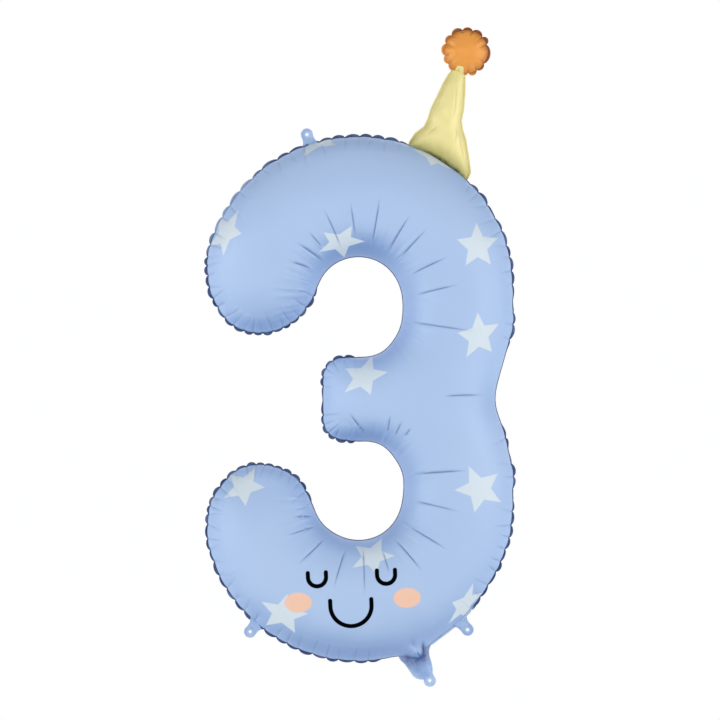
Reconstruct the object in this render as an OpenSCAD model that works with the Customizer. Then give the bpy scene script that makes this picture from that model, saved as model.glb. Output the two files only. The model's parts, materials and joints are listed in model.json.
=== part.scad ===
// Foil number balloon: the digit 3 with a party hat, a pompom, hanging tabs and a filling neck.
// X runs to the right, Y away from the viewer and Z up. The printed face looks along -Y.
// The weld plane between the front and back films is y = 0, and the base of the balloon is z = 0.

/* [Digit] */
// Radius of the centreline of each bowl
bowl_r = 136; // [132:1:140]
// Height between the centres of the two bowls
bowl_pitch = 281; // [278:1:284]
// Height of the middle of the digit
middle_z = 393; // [392:0.5:395]
// Shift of the bowls' centres from the middle of the whole balloon
bowl_x = -3; // [-5:0.5:0]
// Half width of the inflated stroke at the side of a bowl
side_w = 74; // [71:1:77]
// Extra half width at the top and at the bottom of the digit
swell = 6.5; // [4:0.5:8]
// How far the lower right of the rim is flattened
flat_dip = 4; // [0:1:8]
// Half width at the free end of each bowl
end_w = 69; // [66:1:72]
// Half width where a bowl turns into the waist
waist_w = 65; // [63:1:68]
// Half width where the bowls and the arm meet
junction_w = 82; // [79:1:85]
// Half height of the middle arm
arm_w = 55; // [52:1:58]
// Left end of the middle arm's inflated part
arm_end_x = -50; // [-54:1:-46]
// Half depth of an inflated part as a share of its half width
plump = 0.82; // [0.7:0.02:0.9]

/* [Hat] */
// Half width of the inflated hat at its shoulders
hat_w = 23; // [21:1:25]
// Radius of the inflated pompom
pompom_r = 30; // [28:1:32]
// Half depth of the inflated pompom
pompom_d = 15; // [12:1:18]

/* [Film and welds] */
// Thickness of one film, thicker than the real foil so that it makes a sound solid
film_t = 0.4; // [0.3:0.05:0.5]
// Width of the weld flange round the digit
flange = 4; // [3:0.5:5]
// Width of the weld flange round the hat and the pompom
small_flange = 3; // [2.5:0.5:3.5]

/* [Tabs and neck] */
// Radius of a punched eyelet
eyelet_r = 2; // [1.5:0.25:2.5]
// Outer radius of the film round an eyelet
tab_r = 8.6; // [8:0.2:9.2]
// Half width of the filling neck
neck_w = 18; // [17:0.5:19]
// Length of the filling neck beyond the rim
neck_len = 34; // [32:1:36]
// Radius of the filling hole in the neck's back film
inlet_r = 3; // [2.5:0.25:3.5]
// Half width of the valve strip
valve_w = 13; // [11:1:13]
// Length of the valve strip inside the balloon
valve_reach = 70; // [60:5:80]

/* [Hidden] */

round_fn = 28;          // sides of an inflated part, seen from the front
dome_steps = 5;         // rings between the weld and the crown of a dome
bowl_steps = 14;        // lengths in the chain along one bowl
free_end = 172;         // angle of a bowl's free end
taper_from = 162;       // angle where a bowl starts to narrow towards its free end
bowl_stop = -12;        // angle where a bowl turns into the waist
waist_x = 143;          // last blob of a bowl, across and from the middle
waist_up = 110;
junction_x = 93.5;      // middle of the junction
arm_root_x = 26;        // where the middle arm reaches its full height
arm_corner_r = 27;      // round corners of the arm's end
clear = 0.05;           // overshoot of a cut
hinge_gap = 1;          // free film between a weld flange and a flap
slab = 2 * film_t;      // two films welded flat together

// The inflated stroke is a chain of blobs [x, z, half width].
function bowl_z(side) = middle_z + side * bowl_pitch / 2;
function stroke_w(a) = a > taper_from ? end_w : side_w + swell * sin(a);
function dip(side, a) = side < 0 && a < 70 ? flat_dip / 2 * max(0, cos(3 * (a - 40))) : 0;
function bowl_blob(side, a) = let (r = bowl_r - dip(side, a))
    [bowl_x + r * cos(a), bowl_z(side) + side * r * sin(a), stroke_w(a) - dip(side, a)];
function bowl_chain(side) = [
    bowl_blob(side, free_end),
    for (i = [0:bowl_steps]) bowl_blob(side, taper_from + (bowl_stop - taper_from) * i / bowl_steps),
    [waist_x, middle_z + side * waist_up, waist_w],
    [junction_x, middle_z, junction_w],
];
arm_root = [arm_root_x, middle_z, arm_w];
arm_corner_z = arm_w - arm_corner_r;
function arm_corner(side) = [arm_end_x + arm_corner_r, middle_z + side * arm_corner_z, arm_corner_r];

// Radius of the rim round a bowl, at the outer edge of its flange. The angle runs from the bowl's right.
function rim_r(side, a) = bowl_r + side_w + swell * abs(sin(a)) + flange - 2 * dip(side, abs(a));

// Flaps on the rim: [side of the digit, angle round its bowl, distance out to the eyelet].
top_flap = [1, 107.7, 10.5];
left_flap = [-1, 230.2, 11.5];
right_flap = [-1, -49.5, 14];
neck_flap = [-1, -69.3];

// The hat's blobs, and the line where it is pinched to the pompom.
hat_tip = [133.5, 835, 8.5];
hat_shoulder = [113, 770, hat_w];
hat_foot = [108, 748, 15];
hat_left_corner = [70, 746, 3];
hat_right_corner = [147.5, 698, 3];
pompom_at = [144, 866.5, pompom_r];
hat_links = [
    [hat_tip, hat_shoulder],
    [hat_shoulder, hat_foot, hat_right_corner],
    [hat_foot, hat_left_corner, hat_right_corner],
];
hat_lean = 15;          // tilt of the pinch line
pinch_gap = 0.8;

// Half of an inflated blob: a flat round base on the weld plane, domed towards the front.
module half_dome(w, d) {
    rotate([90, 0, 0])
        rotate_extrude($fn = round_fn)
            polygon([[0, 0], for (i = [0:dome_steps]) [w * cos(90 * i / dome_steps), d * sin(90 * i / dome_steps)]]);
}

module blob_dome(b, inset, share = plump) {
    translate([b[0], 0, b[1]])
        half_dome(b[2] - inset, b[2] * share - inset);
}

module blob_disc(b, grow) {
    translate([b[0], b[1]])
        circle(b[2] + grow, $fn = round_fn);
}

// Every pair of neighbouring blobs in the digit.
function links() = [
    for (side = [1, -1]) let (c = bowl_chain(side)) for (i = [0:len(c) - 2]) [c[i], c[i + 1]],
    [[junction_x, middle_z, junction_w], arm_root],
];

module digit_dome(inset) {
    for (l = links())
        hull() {
            blob_dome(l[0], inset);
            blob_dome(l[1], inset);
        }
    hull() {
        blob_dome(arm_root, inset);
        blob_dome(arm_corner(1), inset);
        blob_dome(arm_corner(-1), inset);
    }
}

module digit_plan(grow) {
    for (l = links())
        hull() {
            blob_disc(l[0], grow);
            blob_disc(l[1], grow);
        }
    hull() {
        blob_disc(arm_root, grow);
        blob_disc(arm_corner(1), grow);
        blob_disc(arm_corner(-1), grow);
    }
}

// Turns a flat outline in x and z into a slab across the weld plane.
module across(thickness) {
    rotate([90, 0, 0])
        linear_extrude(thickness, center = true)
            children();
}

// Puts a flap's own frame on the rim: x outwards, z along the rim.
module on_rim(flap) {
    translate([bowl_x, 0, bowl_z(flap[0])])
        rotate([0, -flap[1], 0])
            translate([rim_r(flap[0], flap[1]), 0, 0])
                children();
}

// The way through the rim from the neck into the balloon.
mouth_depth = 9;
mouth_half_h = 4;
module neck_mouth() {
    on_rim(neck_flap)
        translate([-mouth_depth, -mouth_half_h, -neck_w])
            cube([mouth_depth + flange, 2 * mouth_half_h, 2 * neck_w]);
}

module number_shell() {
    difference() {
        digit_dome(0);
        translate([0, clear, 0]) digit_dome(film_t);
        neck_mouth();
    }
}

module number_front_film() {
    color("cornflowerblue") number_shell();
}

module number_back_film() {
    color("lightsteelblue") mirror([0, 1, 0]) number_shell();
}

// The weld: both films pressed flat into one band round the digit.
module number_seam() {
    color("midnightblue")
        difference() {
            across(slab)
                difference() {
                    digit_plan(flange);
                    digit_plan(0);
                }
            neck_mouth();
        }
}

module hat_plan(grow) {
    for (l = hat_links)
        hull()
            for (b = l) blob_disc(b, grow);
}

module hat_dome(inset) {
    for (l = hat_links)
        hull()
            for (b = l) blob_dome(b, inset);
}

// Everything the hat must stay clear of: the digit's rim, which is close to a round arc here,
// and all that lies above the pinch line.
module hat_limits() {
    translate([bowl_x, 0, bowl_z(1) + swell])
        rotate([90, 0, 0])
            cylinder(h = 4 * pompom_r, r = bowl_r + side_w + flange + hinge_gap, center = true, $fn = 120);
    translate([hat_tip[0], 0, hat_tip[1]])
        rotate([0, hat_lean, 0])
            translate([-pompom_r, -pompom_r, 0])
                cube(2 * pompom_r);
}

module hat_shell() {
    difference() {
        hat_dome(0);
        translate([0, clear, 0]) hat_dome(film_t);
        hat_limits();
    }
}

module hat_front_film() {
    color("khaki") hat_shell();
}

module hat_back_film() {
    color("palegoldenrod") mirror([0, 1, 0]) hat_shell();
}

module hat_seam() {
    color("darkkhaki")
        difference() {
            across(slab)
                difference() {
                    hat_plan(small_flange);
                    hat_plan(0);
                }
            hat_limits();
        }
}

// Everything below the pinch line, which the pompom must stay clear of.
module pompom_limit() {
    translate([hat_tip[0], 0, hat_tip[1] + pinch_gap])
        rotate([0, hat_lean, 0])
            translate([-2 * pompom_r, -2 * pompom_r, -4 * pompom_r])
                cube(4 * pompom_r);
}

module pompom_shell() {
    share = pompom_d / pompom_r;
    difference() {
        blob_dome(pompom_at, 0, share);
        translate([0, clear, 0]) blob_dome(pompom_at, film_t, share);
    }
}

module pompom_front_film() {
    color("sandybrown") pompom_shell();
}

module pompom_back_film() {
    color("darkorange") mirror([0, 1, 0]) pompom_shell();
}

module pompom_seam() {
    color("chocolate")
        difference() {
            across(slab)
                difference() {
                    blob_disc(pompom_at, small_flange);
                    blob_disc(pompom_at, 0);
                }
            pompom_limit();
        }
}

// A flap's film, in its own frame: a ring round the eyelet and a root that widens towards the rim.
module flap(out, root_from, root_half) {
    difference() {
        across(slab) {
            translate([out, 0]) circle(tab_r, $fn = 48);
            polygon([
                [root_from, -root_half],
                [(root_from + out) / 2, -tab_r * 0.85],
                [out, -tab_r],
                [out, tab_r],
                [(root_from + out) / 2, tab_r * 0.85],
                [root_from, root_half],
            ]);
        }
        translate([out, 0, 0])
            rotate([90, 0, 0])
                cylinder(h = 4 * slab, r = eyelet_r, center = true, $fn = 48);
    }
}

tab_root_half = 12;
module hanging_tab(place) {
    color("lightsteelblue")
        on_rim(place) flap(place[2], hinge_gap, tab_root_half);
}

module hanging_tab_top() {
    hanging_tab(top_flap);
}

module hanging_tab_left() {
    hanging_tab(left_flap);
}

module hanging_tab_right() {
    hanging_tab(right_flap);
}

// The filling neck: two shallow trays, welded round their edge, open towards the balloon.
neck_start = 3.2;       // clear of the rim when the neck folds
neck_half_d = 3;
neck_corner = 12;
neck_taper = 3;
neck_flare = 5;
neck_flare_len = 7;
inlet_out = 25;
module neck_plan(inset) {
    wide = neck_w - inset;
    narrow = neck_w - neck_taper - inset;
    end = neck_len - inset;
    corner = neck_corner - inset;
    polygon([
        [neck_start, -wide - neck_flare],
        [neck_start + neck_flare_len, -wide],
        [end - corner, -narrow],
        [end - corner, narrow],
        [neck_start + neck_flare_len, wide],
        [neck_start, wide + neck_flare],
    ]);
    for (side = [-1, 1])
        translate([end - corner, side * (narrow - corner)]) circle(corner, $fn = 48);
    translate([end - corner - clear, corner - narrow])
        square([corner + clear, 2 * (narrow - corner)]);
}

module neck_tray() {
    on_rim(neck_flap)
        difference() {
            translate([0, -neck_half_d / 2, 0]) across(neck_half_d) neck_plan(0);
            translate([-clear, -(neck_half_d - film_t) / 2 + clear, 0])
                across(neck_half_d - film_t + 2 * clear) neck_plan(flange / 2);
            translate([neck_start - flange, film_t - neck_half_d, flange / 2 - neck_w])
                cube([2 * flange, neck_half_d, 2 * neck_w - flange]);
        }
}

module neck_front_film() {
    color("cornflowerblue") neck_tray();
}

// The back film also has the hole that takes a straw or a pump nozzle.
module neck_back_film() {
    color("lightsteelblue")
        difference() {
            mirror([0, 1, 0]) neck_tray();
            on_rim(neck_flap)
                translate([inlet_out, neck_half_d, 0])
                    rotate([90, 0, 0])
                        cylinder(h = 4 * film_t, r = inlet_r, center = true, $fn = 48);
        }
}

// The self-sealing valve: two thin strips that gas pressure holds together.
valve_t = 0.25;
valve_gap = 0.3;
valve_start = 19;
valve_tip_r = 5;
module valve_strip() {
    across(valve_t) {
        translate([-valve_reach, -valve_w + valve_tip_r])
            square([valve_reach + valve_start, 2 * (valve_w - valve_tip_r)]);
        translate([-valve_reach + valve_tip_r, -valve_w])
            square([valve_reach + valve_start - valve_tip_r, 2 * valve_w]);
        for (side = [-1, 1])
            translate([-valve_reach + valve_tip_r, side * (valve_w - valve_tip_r)]) circle(valve_tip_r, $fn = 48);
    }
}

module valve_front_film() {
    color("white")
        on_rim(neck_flap)
            translate([0, -(valve_t + valve_gap) / 2, 0]) valve_strip();
}

module valve_back_film() {
    color("gainsboro")
        on_rim(neck_flap)
            translate([0, (valve_t + valve_gap) / 2, 0]) valve_strip();
}

// The eyelet flap at the end of the neck.
neck_tab_out = 42.7;
neck_tab_aside = 5;
neck_tab_root_half = 6;
module neck_tab() {
    color("lightsteelblue")
        on_rim(neck_flap)
            translate([0, 0, neck_tab_aside]) flap(neck_tab_out, neck_len + hinge_gap, neck_tab_root_half);
}

number_front_film();
number_back_film();
number_seam();
hat_front_film();
hat_back_film();
hat_seam();
pompom_front_film();
pompom_back_film();
pompom_seam();
neck_front_film();
neck_back_film();
valve_front_film();
valve_back_film();
hanging_tab_top();
hanging_tab_left();
hanging_tab_right();
neck_tab();
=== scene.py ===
import json
import math
import random

import bpy
import bmesh
import numpy as np
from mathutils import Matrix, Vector, kdtree
from mathutils.geometry import delaunay_2d_cdt


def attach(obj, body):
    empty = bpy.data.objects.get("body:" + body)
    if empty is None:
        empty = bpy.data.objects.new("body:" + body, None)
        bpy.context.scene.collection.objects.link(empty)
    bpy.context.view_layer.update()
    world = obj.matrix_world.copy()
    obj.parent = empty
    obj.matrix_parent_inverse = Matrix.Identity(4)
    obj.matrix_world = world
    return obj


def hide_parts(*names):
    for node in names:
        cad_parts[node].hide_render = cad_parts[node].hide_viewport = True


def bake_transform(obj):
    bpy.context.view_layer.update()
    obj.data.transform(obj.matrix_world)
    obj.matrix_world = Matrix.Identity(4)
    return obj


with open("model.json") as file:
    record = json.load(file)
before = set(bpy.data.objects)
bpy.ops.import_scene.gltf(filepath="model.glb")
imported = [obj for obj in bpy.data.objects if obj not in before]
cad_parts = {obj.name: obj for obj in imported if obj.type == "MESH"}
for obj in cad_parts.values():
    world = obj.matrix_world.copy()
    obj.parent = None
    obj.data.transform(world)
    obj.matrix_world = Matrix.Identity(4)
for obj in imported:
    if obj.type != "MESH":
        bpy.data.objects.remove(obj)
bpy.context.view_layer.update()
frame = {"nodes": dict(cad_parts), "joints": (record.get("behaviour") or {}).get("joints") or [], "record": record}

nodes = frame["nodes"]
joints = {j["name"]: j for j in frame["joints"]}
mm = 0.001
fullTurn = 6.283

lookFrom = {"distance": 6.8, "height": 0.4458, "aside": -0.0007, "across": 0.9818, "sensor": 36, "far": 60}

camData = bpy.data.cameras.new("camera")
camData.sensor_width = lookFrom["sensor"]
camData.lens = lookFrom["sensor"] * lookFrom["distance"] / lookFrom["across"]
camData.clip_end = lookFrom["far"]
camera = bpy.data.objects.new("camera", camData)
camera.location = (lookFrom["aside"], -lookFrom["distance"], lookFrom["height"])
camera.rotation_euler = (math.radians(90), 0, 0)
bpy.context.scene.collection.objects.link(camera)
bpy.context.scene.camera = camera
print("camera set")


# Outlines, taken from the frame's own films.

def weldedCopy(node):
    mesh = nodes[node].data
    co = np.empty(len(mesh.vertices) * 3)
    mesh.vertices.foreach_get("co", co)
    co = co.reshape(-1, 3)
    mesh.calc_loop_triangles()
    tri = np.empty(len(mesh.loop_triangles) * 3, int)
    mesh.loop_triangles.foreach_get("vertices", tri)
    keys = np.round(co * 1e6).astype(np.int64)
    unique, back = np.unique(keys, axis=0, return_inverse=True)
    return unique * 1e-6, back.reshape(-1)[tri].reshape(-1, 3)


def loopArea(p):
    q = np.roll(p, -1, axis=0)
    return 0.5 * np.sum(p[:, 0] * q[:, 1] - q[:, 0] * p[:, 1])


# The outer edge of a film's flat face on the weld plane, as x and z in order.
def weldLoop(node, skip=None):
    co, tri = weldedCopy(node)
    flat = np.abs(co[tri][:, :, 1]).max(axis=1) < 1e-6
    count = {}
    for a, b, c in tri[flat]:
        for e in ((a, b), (b, c), (c, a)):
            key = (min(e), max(e))
            count[key] = count.get(key, 0) + 1
    around = {}
    for (a, b), n in count.items():
        if n == 1 and not (skip and skip(co[a], co[b])):
            around.setdefault(a, []).append(b)
            around.setdefault(b, []).append(a)
    chains = []
    while around:
        start = next((v for v in around if len(around[v]) == 1), next(iter(around)))
        chain = [start]
        while True:
            here = chain[-1]
            ahead = around.get(here, [])
            if not ahead:
                around.pop(here, None)
                break
            there = ahead.pop()
            if not ahead:
                around.pop(here, None)
            if there in around:
                around[there].remove(here)
                if not around[there]:
                    around.pop(there)
            if there == start:
                break
            chain.append(there)
        chains.append(co[chain][:, [0, 2]])
    return max(chains, key=lambda c: abs(loopArea(c)))


def resampled(p, step):
    if loopArea(p) < 0:
        p = p[::-1]
    closed = np.vstack([p, p[:1]])
    s = np.concatenate([[0], np.cumsum(np.hypot(*np.diff(closed, axis=0).T))])
    n = int(round(s[-1] / step))
    at = np.arange(n) * s[-1] / n
    return np.stack([np.interp(at, s, closed[:, k]) for k in (0, 1)], axis=1), s[-1]


# Gaussian blur of samples round a closed loop. Sigma is in samples.
def ringBlur(values, sigma):
    f = np.fft.fftfreq(len(values))
    gain = np.exp(-2 * (np.pi * f * sigma) ** 2)
    shape = (-1,) + (1,) * (values.ndim - 1)
    return np.real(np.fft.ifft(np.fft.fft(values, axis=0) * gain.reshape(shape), axis=0))


# A blur that hardly shrinks the loop.
def gentleBlur(p, sigma):
    once = ringBlur(p, sigma)
    return 2 * once - ringBlur(once, sigma)


# An outline as evenly spaced points, with inward normals and curvature, positive where it is convex.
def makeEdge(p, step, blur):
    p, length = resampled(gentleBlur(resampled(p, step)[0], blur / step), step)
    along = np.roll(p, -1, axis=0) - np.roll(p, 1, axis=0)
    along /= np.linalg.norm(along, axis=1)[:, None]
    inward = np.stack([-along[:, 1], along[:, 0]], axis=1)
    ahead = np.roll(along, -1, axis=0)
    turn = np.arctan2(along[:, 0] * ahead[:, 1] - along[:, 1] * ahead[:, 0], (along * ahead).sum(axis=1))
    tree = kdtree.KDTree(len(p))
    for i, (x, z) in enumerate(p):
        tree.insert((x, z, 0), i)
    tree.balance()
    return {"p": p, "inward": inward, "curve": turn / (length / len(p)), "length": length,
            "step": length / len(p), "tree": tree}


def onRing(values, s, length):
    x = (s / length * len(values)) % len(values)
    i = np.floor(x).astype(int)
    f = x - i
    if values.ndim == 2:
        f = f[:, None]
    return values[i % len(values)] * (1 - f) + values[(i + 1) % len(values)] * f


# Distance in from the outline, negative outside, and how far round it the nearest point is.
def fromEdge(edge, q):
    i = np.array([edge["tree"].find((x, z, 0))[1] for x, z in q])
    away = q - edge["p"][i]
    n = edge["inward"][i]
    inside = (away * n).sum(axis=1)
    along = away[:, 0] * n[:, 1] - away[:, 1] * n[:, 0]
    far = np.hypot(*away.T)
    d = np.where(far < 2 * edge["step"], inside, np.copysign(far, inside))
    return d, (i * edge["step"] + along) % edge["length"]


def smoothStep(x, a, b):
    t = np.clip((x - a) / (b - a), 0, 1)
    return t * t * (3 - 2 * t)


# Columns round the rim, closer together near each place in near.
def columnsFor(edge, coarse, fine, near):
    n = int(edge["length"] / (0.25 * mm))
    s = (np.arange(n) + 0.5) * edge["length"] / n
    close = np.zeros(n)
    for at in near:
        gap = np.abs((s - at + edge["length"] / 2) % edge["length"] - edge["length"] / 2)
        close = np.maximum(close, 1 - smoothStep(gap, 2 * fine, 6 * fine))
    per = 1 / (coarse + (fine - coarse) * close)
    total = np.concatenate([[0], np.cumsum(per) * edge["length"] / n])
    count = int(total[-1])
    return np.interp(np.arange(count) * total[-1] / count, total, np.arange(n + 1) * edge["length"] / n)


# How close points may lie to each other in a chamber's mesh, as shares of its spacing.
spacing = {"foldStep": 0.8, "foldToRim": 0.4, "foldToFold": 0.25, "gridToFold": 0.75, "gridToRim": 0.6}


# The flat mesh of one chamber: graded rows inside the rim, then an even triangle mesh.
# Lines in folds get closer points of their own. Each is (start, end) in x and z.
def chamberMesh(edge, size, near=(), folds=()):
    s = columnsFor(edge, size["coarse"], size["fine"], near)
    p = onRing(edge["p"], s, edge["length"])
    n = onRing(edge["inward"], s, edge["length"])
    n /= np.linalg.norm(n, axis=1)[:, None]
    depths = size["grade"] * np.arange(size["rows"]) ** 2
    rows = p[None] + depths[:, None, None] * n[None]
    count = len(s)
    flat = rows.reshape(-1, 2)
    quads = []
    for k in range(size["rows"] - 1):
        a = k * count + np.arange(count)
        b = k * count + (np.arange(count) + 1) % count
        quads.append(np.stack([a, b, b + count, a + count], axis=1))
    quads = np.vstack(quads)
    inner = rows[-1]
    gap = size["inside"]
    low, high = inner.min(axis=0), inner.max(axis=0)
    lines = np.arange(low[1], high[1], gap * math.sqrt(3) / 2)
    starts = [low[0] + (j % 2) * gap / 2 for j in range(len(lines))]
    grid = np.vstack([[(x, z) for x in np.arange(start, high[0], gap)] for start, z in zip(starts, lines)])
    extra = []
    for a, b in folds:
        a, b = np.array(a), np.array(b)
        run = b - a
        long = np.linalg.norm(run)
        run /= long
        side = np.array([-run[1], run[0]])
        for off in size["foldRows"]:
            at = np.arange(-2 * abs(off), long + 2 * abs(off), gap * spacing["foldStep"])
            extra.append(a + at[:, None] * run + off * side)
    keep = depths[-1]
    if extra:
        extra = np.vstack(extra)
        d, _ = fromEdge(edge, extra)
        extra = extra[d > keep + spacing["foldToRim"] * gap]
        apart = spacing["foldToFold"] * size["fine"]
        kept, tree = [], kdtree.KDTree(len(extra))
        for i, q in enumerate(extra):
            tree.insert((q[0], q[1], 0), i)
        tree.balance()
        dropped = set()
        for i, q in enumerate(extra):
            if i in dropped:
                continue
            kept.append(q)
            dropped.update(j for _, j, _ in tree.find_range((q[0], q[1], 0), apart) if j > i)
        extra = np.array(kept)
        clear = np.array([tree.find((x, z, 0))[2] for x, z in grid])
        grid = grid[clear > spacing["gridToFold"] * gap]
    d, _ = fromEdge(edge, grid)
    grid = grid[d > keep + spacing["gridToRim"] * gap]
    loose = np.vstack([inner, grid, extra]) if len(extra) else np.vstack([inner, grid])
    ring = [(i, (i + 1) % count) for i in range(count)]
    out, _, faces, origin, _, _ = delaunay_2d_cdt([Vector(q) for q in loose], ring, [], 1, 1e-9)
    index = np.empty(len(out), int)
    added, at = [], len(flat)
    base = (size["rows"] - 1) * count
    for i, o in enumerate(origin):
        if o and min(o) < count:
            index[i] = base + min(o)
        else:
            index[i] = at
            added.append(out[i][:])
            at += 1
    tris = index[np.array(faces)]
    if len(added):
        flat = np.vstack([flat, np.array(added)])
    a, b, c = (flat[tris[:, k]] for k in range(3))
    turned = (b[:, 0] - a[:, 0]) * (c[:, 1] - a[:, 1]) - (b[:, 1] - a[:, 1]) * (c[:, 0] - a[:, 0]) < 0
    tris[turned] = tris[turned][:, ::-1]
    depth, around = np.repeat(depths, count), np.tile(s, size["rows"])
    if len(added):
        depth, around = (np.concatenate(both) for both in zip((depth, around), fromEdge(edge, np.array(added))))
    return {"q": flat, "quads": quads, "tris": tris, "s": around, "d": depth, "columns": s}


def cornersOf(sheet):
    q = sheet["quads"]
    return np.vstack([q[:, [0, 1, 2]], q[:, [0, 2, 3]], sheet["tris"]])


# The height of a film that gas pushes out evenly over this outline, held where hold is true.
def puffed(sheet, hold, rounds):
    q = sheet["q"]
    t = cornersOf(sheet)
    count = len(q)
    a, b, c = q[t[:, 0]], q[t[:, 1]], q[t[:, 2]]
    area = 0.5 * ((b[:, 0] - a[:, 0]) * (c[:, 1] - a[:, 1]) - (b[:, 1] - a[:, 1]) * (c[:, 0] - a[:, 0]))
    area = np.maximum(area, 1e-14)
    i, j, w = [], [], []
    for k in range(3):
        o, u, v = t[:, k], t[:, (k + 1) % 3], t[:, (k + 2) % 3]
        cot = ((q[u] - q[o]) * (q[v] - q[o])).sum(axis=1) / (2 * area)
        i.append(u), j.append(v), w.append(np.clip(cot, 0, 60) / 2)
    i, j, w = map(np.concatenate, (i, j, w))
    load = np.bincount(t.ravel(), weights=np.repeat(area / 3, 3), minlength=count)
    diag = np.bincount(i, w, count) + np.bincount(j, w, count)
    free = ~hold

    def push(x):
        return np.where(free, diag * x - np.bincount(i, w * x[j], count) - np.bincount(j, w * x[i], count), 0)

    wide = sheet["d"].max()
    u = np.where(free, np.maximum(sheet["d"], 0) * (2 * wide - np.minimum(sheet["d"], wide)) / 2, 0)
    r = np.where(free, load, 0) - push(u)
    scale = np.where(free, 1 / np.maximum(diag, 1e-9), 0)
    z = scale * r
    p, rz = z.copy(), (r * z).sum()
    first = np.abs(r).max()
    for _ in range(rounds):
        ap = push(p)
        step = rz / max((p * ap).sum(), 1e-30)
        u += step * p
        r -= step * ap
        if np.abs(r).max() < 1e-6 * first:
            break
        z = scale * r
        rz, old = (r * z).sum(), rz
        p = z + p * (rz / old)
    return np.sqrt(np.maximum(2 * u, 0))


def vertexNormals(co, t):
    n = np.cross(co[t[:, 1]] - co[t[:, 0]], co[t[:, 2]] - co[t[:, 0]])
    total = np.stack([np.bincount(t.ravel(), np.repeat(n[:, k], 3), len(co)) for k in range(3)], axis=1)
    return total / np.maximum(np.linalg.norm(total, axis=1), 1e-20)[:, None]


def newPiece(name, co, faces, smooth=True):
    mesh = bpy.data.meshes.new(name)
    mesh.from_pydata([tuple(v) for v in co], [], [tuple(f) for f in faces])
    mesh.update()
    piece = bpy.data.objects.new(name, mesh)
    bpy.context.scene.collection.objects.link(piece)
    if smooth:
        mesh.polygons.foreach_set("use_smooth", [True] * len(mesh.polygons))
    return piece


def keepValue(piece, name, values):
    piece.data.attributes.new(name, "FLOAT", "POINT").data.foreach_set("value", values.astype(np.float32))


# A colour given as 0 to 255, made linear.
def fromPicker(r, g, b):
    def one(v):
        v /= 255
        return v / 12.92 if v <= 0.04045 else ((v + 0.055) / 1.055) ** 2.4
    return (one(r), one(g), one(b), 1)


class Value:
    def __init__(self, finish, socket):
        self.finish, self.socket = finish, socket

    def join(self, how, *others):
        inputs = dict(enumerate([self.socket] + [o.socket if isinstance(o, Value) else o for o in others]))
        return self.finish.add("ShaderNodeMath", {"operation": how}, inputs)

    def __add__(self, o): return self.join("ADD", o)
    def __sub__(self, o): return self.join("SUBTRACT", o)
    def __mul__(self, o): return self.join("MULTIPLY", o)
    def __truediv__(self, o): return self.join("DIVIDE", o)
    def __pow__(self, o): return self.join("POWER", o)
    def __abs__(self): return self.join("ABSOLUTE")
    def low(self, o): return self.join("MINIMUM", o)
    def high(self, o): return self.join("MAXIMUM", o)

    def ramp(self, a, b):
        return self.finish.add("ShaderNodeMapRange", {"interpolation_type": "SMOOTHSTEP"},
                               {"Value": self, "From Min": a, "From Max": b})


class Finish:
    def __init__(self, name, **fixed):
        self.material = bpy.data.materials.new(name)
        self.material.use_nodes = True
        self.tree = self.material.node_tree
        self.shader = self.tree.nodes["Principled BSDF"]
        self.set(self.shader, fixed)
        self.place = self.tree.nodes.new("ShaderNodeTexCoord").outputs["Object"]

    def set(self, node, inputs):
        for key, value in inputs.items():
            socket = node.inputs[key]
            value = value.socket if isinstance(value, Value) else value
            if isinstance(value, bpy.types.NodeSocket):
                self.tree.links.new(value, socket)
            else:
                socket.default_value = value

    def add(self, kind, settings=None, inputs=None, out=0):
        node = self.tree.nodes.new(kind)
        for key, value in (settings or {}).items():
            setattr(node, key, value)
        self.set(node, inputs or {})
        return Value(self, node.outputs[out])

    def apart(self, vector):
        node = self.tree.nodes.new("ShaderNodeSeparateXYZ")
        self.set(node, {0: vector})
        return [Value(self, o) for o in node.outputs]

    def mix(self, a, b, mask):
        node = self.tree.nodes.new("ShaderNodeMix")
        node.data_type = "RGBA"
        node.clamp_factor = True
        self.set(node, {0: mask, 6: a, 7: b})
        return Value(self, node.outputs[2])

    def noise(self, scale, detail=2, vector=None):
        return self.add("ShaderNodeTexNoise", None,
                        {"Vector": vector or self.place, "Scale": scale, "Detail": detail})

    def attribute(self, name):
        return self.add("ShaderNodeAttribute", {"attribute_name": name}, None, out=2)

    def bump(self, height, strength, distance):
        return self.add("ShaderNodeBump", None, {"Strength": strength, "Distance": distance, "Height": height})

    def out(self, **links):
        self.set(self.shader, {k.replace("_", " "): v for k, v in links.items()})
        return self.material


def giveFinish(piece, material):
    if piece.data.materials:
        for i in range(len(piece.data.materials)):
            piece.data.materials[i] = material
    else:
        piece.data.materials.append(material)


# The digit. Angles are in degrees round a bowl's middle, lengths in millimetres.
bowls = {"upper": (-0.003, 0.5335), "lower": (-0.003, 0.2525)}

digit = {
    "plump": 0.82,
    "blur": 6,              # of the outline, before and after it bulges
    "rimBlur": 1.5,
    "hollowReach": 15,
    "lobe": 18,             # usual length of one scallop
    "lobeEnds": 13.5,       # and round the free ends and the arm
    "lobeTopLeft": 21.5,
    "pull": 1.3,            # how far the weld is drawn in between scallops
    "groove": 0.65,
    "flange": 3.0,
    "flangeThin": 1.0,
    "seed": 5,
    "creaseDepth": 1.7,
    "pleatDepth": 0.28,
    "uneven": 0.35,
}

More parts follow.
